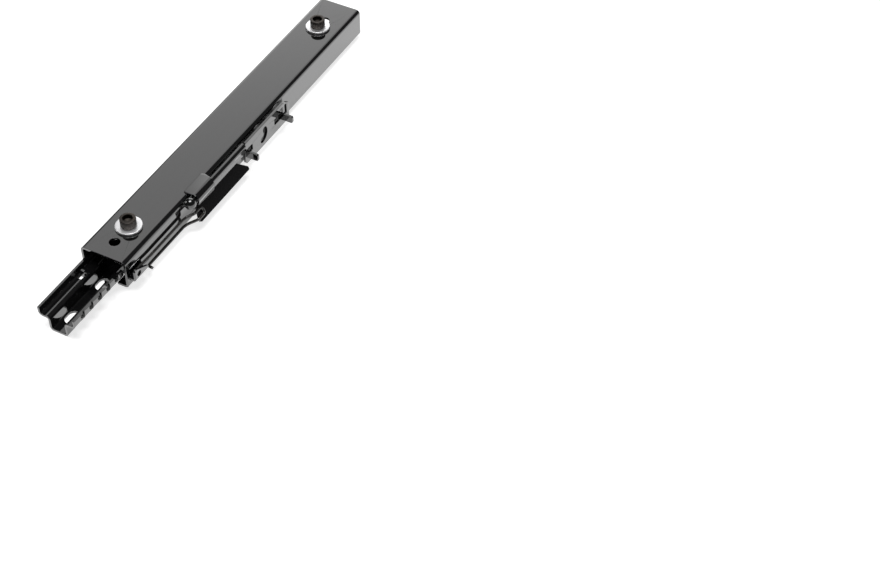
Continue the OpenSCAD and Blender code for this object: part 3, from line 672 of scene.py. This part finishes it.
class SLIDERAIL_OT_screws(bpy.types.Operator):
    """Two socket head screws with knurled heads and grooved threads"""
    bl_idname = "sliderail.screws"
    bl_label = "Seat screws"

    def corner(self, sizes):
        """Radius to the corners of the hexagon socket."""
        return sizes.socket_flats / 2 / math.cos(math.pi / 6)

    def profile(self, sizes):
        """Outline of a screw from the socket's rim to the tip, as radius and height."""
        head, tall = sizes.head_radius, sizes.head_height
        shank, pitch = sizes.screw_radius, sizes.thread_pitch
        rim = self.corner(sizes) + RIM_LAND
        points = [(rim, tall - RIM_BREAK), (rim + RIM_BREAK, tall)]
        points += arc((head - HEAD_ROUND, tall - HEAD_ROUND), HEAD_ROUND, QUARTER, 0.0, steps=4)
        points += [(head, tall - KNURL_TOP), (head, KNURL_LOW)]
        points += [(head - inward, height) for inward, height in FOOT_STEPS]
        points += [(shank + NECK_FILLET, 0.0), (shank, -NECK_FILLET), (shank, -PLAIN_LENGTH)]
        root = shank - THREAD_DEPTH * pitch
        low = -PLAIN_LENGTH
        while low - pitch > THREAD_END - sizes.screw_length:
            points += [(root, low - (0.5 - THREAD_FLAT) * pitch),
                       (root, low - (0.5 + THREAD_FLAT) * pitch),
                       (shank, low - (1.0 - THREAD_FLAT) * pitch),
                       (shank, low - (1.0 + THREAD_FLAT) * pitch)]
            low -= pitch
        points += [(shank - TIP_TAPER, -sizes.screw_length), (0.0, -sizes.screw_length)]
        return points

    def knurl(self, screw, centre, sizes):
        """Presses every other line of the head's side inwards."""
        edit(screw)
        step = math.tau / sizes.turns
        slack = 0.1 * MM
        lowest, highest = KNURL_LOW - slack, sizes.head_height - KNURL_TOP + slack

        def on_side(vert):
            away = vert.co - centre
            reach = math.hypot(away.x, away.y)
            turned = round(math.atan2(away.y, away.x) / step)
            on_rim = abs(reach - sizes.head_radius) < MERGE_GAP / 2
            return on_rim and turned % 2 == 0 and lowest < away.z < highest
        need(pick("VERT", on_side), "the knurl")
        shrink = 1 - sizes.knurl_depth / sizes.head_radius
        bpy.ops.transform.resize(value=(shrink, shrink, 1), center_override=centre)
        leave_edit()

    def socket(self, screw, centre, sizes):
        """Bridges the round rim to a hexagon and sinks it to a drilled bottom."""
        edit(screw)
        drop = RIM_BREAK + HEXAGON_DROP
        bpy.ops.mesh.select_all(action="DESELECT")
        bpy.ops.mesh.primitive_circle_add(
            vertices=6, radius=self.corner(sizes),
            location=(centre.x, centre.y, centre.z + sizes.head_height - drop))
        need(pick("EDGE", lambda side: side.is_boundary), "the socket's rim")
        bpy.ops.mesh.bridge_edge_loops()
        need(pick("EDGE", lambda side: side.is_boundary), "the hexagon")
        bpy.ops.mesh.extrude_region_move(
            TRANSFORM_OT_translate={"value": (0, 0, drop - sizes.socket_depth)})
        bpy.ops.mesh.edge_face_add()
        bpy.ops.mesh.inset(thickness=BOTTOM_FLAT, depth=0)
        bpy.ops.mesh.inset(thickness=DRILL_WIDTH, depth=-DRILL_DEPTH)
        close_up()
        leave_edit()

    def first_screw(self, name, centre, sizes):
        """Screw turned from its outline, with knurl and socket."""
        screw = start_piece(name)
        draw_line(screw, [centre + Vector((r, 0, z)) for r, z in self.profile(sizes)])
        turn(screw, centre, Z_AXIS, sizes.turns)
        self.knurl(screw, centre, sizes)
        self.socket(screw, centre, sizes)
        smooth(screw, degrees=28.0)
        return screw

    def second_screw(self, name, centre, first, first_centre):
        """Copy of the first screw, turned on a little and moved to its own hole."""
        screw = bpy.data.objects.new(name, first.data.copy())
        bpy.context.scene.collection.objects.link(screw)
        edit(screw)
        bpy.ops.mesh.select_all(action="SELECT")
        bpy.ops.transform.rotate(value=math.radians(SECOND_TURN), orient_axis="Z",
                                 center_override=first_centre)
        bpy.ops.transform.translate(value=centre - first_centre)
        leave_edit()
        return screw

    def execute(self, context):
        sizes = context.scene.slide_rail_sizes
        first = None
        for node in ("front_bolt", "rear_bolt"):
            low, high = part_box(node)
            centre = Vector(((low.x + high.x) / 2, (low.y + high.y) / 2,
                             high.z - sizes.head_height))
            if first is None:
                screw = self.first_screw(node + "_screw", centre, sizes)
                first, first_centre = screw, centre
            else:
                screw = self.second_screw(node + "_screw", centre, first, first_centre)
            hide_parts(node)
            settle(screw, "upper", finish("black_oxide"))
        return {"FINISHED"}


class SLIDERAIL_OT_washers(bpy.types.Operator):
    """Two stamped plain washers, rolled over on the punched side"""
    bl_idname = "sliderail.washers"
    bl_label = "Washers"

    def profile(self, bore, out_r, tall):
        """Closed outline of a washer, as radius and height."""
        roll, burr = WASHER_ROLL, WASHER_BURR
        points = [(bore, burr), (bore + burr, 0.0), (out_r - burr, 0.0), (out_r, burr)]
        points += arc((out_r - roll, tall - roll), roll, 0.0, QUARTER, steps=5)
        points += arc((bore + roll, tall - roll), roll, QUARTER, math.pi, steps=5)
        return points + points[:1]

    def execute(self, context):
        bore = context.scene.slide_rail_sizes.washer_bore
        for node in ("front_washer", "rear_washer"):
            low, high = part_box(node)
            middle = (low + high) / 2
            base = Vector((middle.x, middle.y, low.z))
            points = self.profile(bore, (high.x - low.x) / 2, high.z - low.z)
            washer = start_piece(node + "_ring")
            draw_line(washer, [base + Vector((r, 0, z)) for r, z in points])
            turn(washer, base, Z_AXIS, steps=72)
            smooth(washer, degrees=30.0)
            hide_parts(node)
            settle(washer, "upper", finish("zinc"))
        return {"FINISHED"}


class SLIDERAIL_OT_nuts(bpy.types.Operator):
    """Two weld nuts under the roof with broken edges"""
    bl_idname = "sliderail.nuts"
    bl_label = "Weld nuts"

    def execute(self, context):
        edge = context.scene.slide_rail_sizes.latch_edge
        for node in ("front_weld_nut", "rear_weld_nut"):
            piece = softened(node, node + "_hex", edge)
            settle(piece, "upper", finish("steel"))
        return {"FINISHED"}


class SLIDERAIL_OT_spring(bpy.types.Operator):
    """Hairpin of round wire that runs between the ear and the flap"""
    bl_idname = "sliderail.spring"
    bl_label = "Return spring"

    def route(self, sizes):
        """The wire's middle line with a bend at each corner."""
        corners = [Vector(point) * MM for point in WIRE_ROUTE]
        path = [corners[0]]
        for before, here, after in zip(corners, corners[1:], corners[2:]):
            back, ahead = before - here, after - here
            reach = min(sizes.wire_bend / math.tan(back.angle(ahead) / 2),
                        BEND_SHARE * back.length, BEND_SHARE * ahead.length)
            first = here + back.normalized() * reach
            last = here + ahead.normalized() * reach
            for step in range(BEND_STEPS + 1):
                t = step / BEND_STEPS
                path.append(first * (1 - t) ** 2 + here * 2 * t * (1 - t) + last * t ** 2)
        path.append(corners[-1])
        return path

    def execute(self, context):
        sizes = context.scene.slide_rail_sizes
        name = "return_spring_wire"
        wire = start_piece(name)
        draw_line(wire, self.route(sizes))
        take(wire)
        bpy.ops.object.convert(target="CURVE")
        wire = context.active_object
        wire.data.dimensions = "3D"
        wire.data.bevel_depth = sizes.wire_radius
        wire.data.bevel_resolution = 5
        wire.data.use_fill_caps = True
        bpy.ops.object.convert(target="MESH")
        wire = context.active_object
        wire.name = wire.data.name = name
        edit(wire)
        close_up()
        leave_edit()
        apply_modifier(wire, "BEVEL", width=WIRE_BREAK, segments=2, limit_method="ANGLE",
                       angle_limit=math.radians(60))
        smooth(wire, degrees=40.0)
        wire.data.materials.clear()
        wire.data.materials.append(finish("spring_steel"))
        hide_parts("return_spring")
        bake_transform(wire)
        clear_selection()
        return {"FINISHED"}


class SLIDERAIL_OT_rolling_set(bpy.types.Operator):
    """Rollers and balls in their cage and retainers"""
    bl_idname = "sliderail.rolling_set"
    bl_label = "Rolling set"

    def execute(self, context):
        edge = context.scene.slide_rail_sizes.small_edge
        for node, body, slot in (("roller_cage", "cage", "nylon"),
                                 ("front_roller", "front_roll", "steel"),
                                 ("rear_roller", "rear_roll", "steel"),
                                 ("left_ball_retainer", "left_race", "nylon"),
                                 ("right_ball_retainer", "right_race", "nylon")):
            piece = softened(node, node + "_part", edge)
            settle(piece, body, finish(slot))
        for node in ("left_balls", "right_balls"):
            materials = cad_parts[node].data.materials
            materials.clear()
            materials.append(finish("steel"))
        return {"FINISHED"}


class SLIDERAIL_OT_stage(bpy.types.Operator):
    """Pale table, soft studio light and the camera"""
    bl_idname = "sliderail.stage"
    bl_label = "Stage"

    def camera(self, scene):
        clear_selection()
        bpy.ops.object.camera_add()
        camera = bpy.context.active_object
        camera.name = "view_camera"
        forward = Vector(CAMERA_SIGHT).normalized()
        right = forward.cross(Z_AXIS).normalized()
        up = right.cross(forward)
        roll = math.radians(CAMERA_ROLL)
        side = right * math.cos(roll) + up * math.sin(roll)
        top = up * math.cos(roll) - right * math.sin(roll)
        turned = Matrix((side, top, -forward)).transposed().to_4x4()
        camera.matrix_world = Matrix.Translation(CAMERA_PLACE) @ turned
        camera.data.sensor_fit = "HORIZONTAL"
        camera.data.sensor_width = CAMERA_FILM
        camera.data.lens = CAMERA_LENS
        camera.data.clip_start, camera.data.clip_end = 0.01, 100.0
        scene.camera = camera

    def lamp(self, name, place, size, power):
        """Soft rectangular lamp that faces the rail, out of the camera's sight."""
        clear_selection()
        bpy.ops.object.light_add(type="AREA", location=place)
        lamp = bpy.context.active_object
        lamp.name = name
        lamp.data.shape = "RECTANGLE"
        lamp.data.size, lamp.data.size_y = size
        lamp.data.energy = power
        lamp.rotation_mode = "QUATERNION"
        lamp.rotation_quaternion = (-Vector(place)).to_track_quat("-Z", "Y")
        lamp.visible_camera = False

    def bare_material(self, name):
        """Material with nothing but its output node."""
        material = bpy.data.materials.new(name)
        material.use_nodes = True
        material.node_tree.nodes.clear()
        return material, material.node_tree.nodes.new("ShaderNodeOutputMaterial")

    def table_glow(self, tree):
        """Glow for rays that show the table itself: to the camera, and in gloss or through glass."""
        path = tree.nodes.new("ShaderNodeLightPath")
        far = maths(tree, "MAXIMUM", path.outputs["Is Glossy Ray"],
                    path.outputs["Is Transmission Ray"])
        return maths(tree, "MAXIMUM", maths(tree, "MULTIPLY", far, TABLE_MIRRORED),
                     maths(tree, "MULTIPLY", path.outputs["Is Camera Ray"], TABLE_GLOW))

    def floor(self, colour):
        clear_selection()
        bpy.ops.mesh.primitive_circle_add(vertices=96, radius=TABLE_RADIUS, fill_type="NGON")
        floor = bpy.context.active_object
        floor.name = "table_top"
        bpy.ops.object.mode_set(mode="EDIT")
        bpy.ops.mesh.select_all(action="SELECT")
        bpy.ops.mesh.inset(thickness=TABLE_RING, depth=0)
        leave_edit()
        material, out = self.bare_material("pale_table")
        tree = material.node_tree
        matt = tree.nodes.new("ShaderNodeBsdfDiffuse")
        matt.inputs["Color"].default_value = with_alpha(colour)
        glow = tree.nodes.new("ShaderNodeEmission")
        glow.inputs["Color"].default_value = WHITE
        tree.links.new(self.table_glow(tree), glow.inputs["Strength"])
        both = tree.nodes.new("ShaderNodeAddShader")
        tree.links.new(matt.outputs[0], both.inputs[0])
        tree.links.new(glow.outputs[0], both.inputs[1])
        tree.links.new(both.outputs[0], out.inputs["Surface"])
        floor.data.materials.append(material)

    def world(self, scene):
        world = bpy.data.worlds.new("studio")
        scene.world = world
        world.use_nodes = True
        back = node_of(world.node_tree, "BACKGROUND")
        back.inputs["Color"].default_value = WHITE
        back.inputs["Strength"].default_value = ROOM_LIGHT

    def card(self, name, place, aim, size):
        """Flat card that faces a point, out of the camera's sight."""
        clear_selection()
        bpy.ops.mesh.primitive_plane_add(size=1.0)
        card = bpy.context.active_object
        card.name = name
        bpy.ops.object.mode_set(mode="EDIT")
        bpy.ops.mesh.select_all(action="SELECT")
        bpy.ops.transform.resize(value=(*size, 1.0))
        leave_edit()
        turned = (Vector(aim) - Vector(place)).to_track_quat("Z", "Y").to_matrix().to_4x4()
        card.data.transform(Matrix.Translation(place) @ turned)
        card.visible_camera = False
        card.visible_shadow = False
        return card

    def card_light(self, name, heights, strengths, flank):
        """Glow that falls off with height and towards one flank."""
        material, out = self.bare_material(name)
        tree = material.node_tree
        glow = tree.nodes.new("ShaderNodeEmission")
        where = tree.nodes.new("ShaderNodeTexCoord")
        parts = tree.nodes.new("ShaderNodeSeparateXYZ")
        tree.links.new(where.outputs["Object"], parts.inputs[0])
        across = maths(tree, "SUBTRACT", parts.outputs["Y"],
                       maths(tree, "MULTIPLY", parts.outputs["X"], CARD_FACING))
        fall = spread(tree, parts.outputs["Z"], heights, strengths)
        side = spread(tree, across, flank, (CARD_DIM, 1.0))
        for ramp in (fall, side):
            ramp.node.interpolation_type = "SMOOTHSTEP"
        tree.links.new(maths(tree, "MULTIPLY", fall, side), glow.inputs["Strength"])
        tree.links.new(glow.outputs[0], out.inputs["Surface"])
        return material

    def execute(self, context):
        scene = context.scene
        scene.view_settings.view_transform = "Standard"
        self.camera(scene)
        self.floor(scene.slide_rail_finish.floor)
        self.world(scene)
        card = self.card("back_card", place=(-2.2, -1.35, 1.7), aim=(0, 0, 0.1), size=(3.2, 2.8))
        card.data.materials.append(self.card_light(
            "back_card", heights=(1.0, 2.2), strengths=(2.2, 1.08), flank=(-1.25, -0.65)))
        self.lamp("top_softbox", place=(0.1, 0.1, 2.6), size=(1.7, 1.2), power=48.0)
        self.lamp("side_softbox", place=(0.7, -2.6, 0.9), size=(0.7, 0.7), power=9.0)
        clear_selection()
        return {"FINISHED"}


class SLIDERAIL_PT_panel(bpy.types.Panel):
    """Lists the steps and the values that they use"""
    bl_idname = "SLIDERAIL_PT_panel"
    bl_label = "Slide rail"
    bl_space_type = "VIEW_3D"
    bl_region_type = "UI"
    bl_category = "Slide rail"

    def draw(self, context):
        for operator in STEPS:
            self.layout.operator(operator.bl_idname)
        for group in (context.scene.slide_rail_sizes, context.scene.slide_rail_finish):
            box = self.layout.box()
            for key in group.bl_rna.properties.keys():
                if key not in ("rna_type", "name"):
                    box.prop(group, key)


STEPS = (
    SLIDERAIL_OT_stage,
    SLIDERAIL_OT_rails,
    SLIDERAIL_OT_latch,
    SLIDERAIL_OT_rod,
    SLIDERAIL_OT_screws,
    SLIDERAIL_OT_washers,
    SLIDERAIL_OT_nuts,
    SLIDERAIL_OT_spring,
    SLIDERAIL_OT_rolling_set,
)
CLASSES = (SLIDERAIL_PG_sizes, SLIDERAIL_PG_finish, *STEPS, SLIDERAIL_PT_panel)


def register():
    for item in CLASSES:
        bpy.utils.register_class(item)
    bpy.types.Scene.slide_rail_sizes = PointerProperty(type=SLIDERAIL_PG_sizes)
    bpy.types.Scene.slide_rail_finish = PointerProperty(type=SLIDERAIL_PG_finish)


def unregister():
    del bpy.types.Scene.slide_rail_sizes
    del bpy.types.Scene.slide_rail_finish
    for item in reversed(CLASSES):
        bpy.utils.unregister_class(item)


def main():
    register()
    bpy.ops.sliderail.stage()
    bpy.ops.sliderail.rails()
    bpy.ops.sliderail.latch()
    bpy.ops.sliderail.rod()
    bpy.ops.sliderail.screws()
    bpy.ops.sliderail.washers()
    bpy.ops.sliderail.nuts()
    bpy.ops.sliderail.spring()
    bpy.ops.sliderail.rolling_set()


if __name__ == "__main__":
    main()
